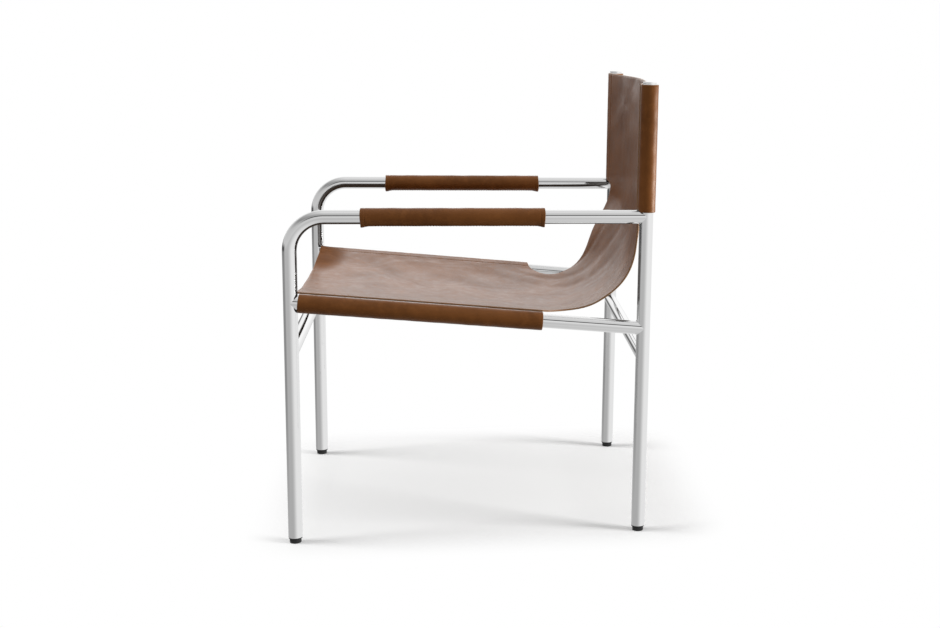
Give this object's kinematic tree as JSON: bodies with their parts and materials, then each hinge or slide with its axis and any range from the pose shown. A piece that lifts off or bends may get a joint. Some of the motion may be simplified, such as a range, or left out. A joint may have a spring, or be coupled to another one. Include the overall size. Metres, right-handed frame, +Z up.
{
  "type": "tubular sling armchair",
  "caption": "Low armchair with a round steel tube frame, a leather panel slung between its sides as seat and back, and leather sleeves on the arms.",
  "frame": {"origin": "on the floor, midway between the sides and midway between the front of the front legs and the rearmost point of the back", "axes": "+Z up, -Y towards the front of the seat, +X towards the sitter's left"},
  "size_m": [0.5734, 0.661, 0.8296],
  "materials": {
    "chromed_steel": "bright chrome over polished tube",
    "saddle_leather": "smooth tan saddle leather, waxed, satin",
    "black_plastic": "moulded, matt"
  },
  "bodies": {
    "root": {"left_front_leg_arm_tube": "chromed_steel", "right_front_leg_arm_tube": "chromed_steel", "left_rear_upright_tube": "chromed_steel", "right_rear_upright_tube": "chromed_steel", "left_seat_rail": "chromed_steel", "right_seat_rail": "chromed_steel", "front_crossbar": "chromed_steel", "rear_crossbar": "chromed_steel", "left_upright_cap": "chromed_steel", "right_upright_cap": "chromed_steel", "left_front_glide": "black_plastic", "right_front_glide": "black_plastic", "left_rear_glide": "black_plastic", "right_rear_glide": "black_plastic", "sling_panel": "saddle_leather", "left_seat_sleeve": "saddle_leather", "right_seat_sleeve": "saddle_leather", "left_back_sleeve": "saddle_leather", "right_back_sleeve": "saddle_leather", "left_arm_sleeve": "saddle_leather", "right_arm_sleeve": "saddle_leather"}
  },
  "joints": []
}
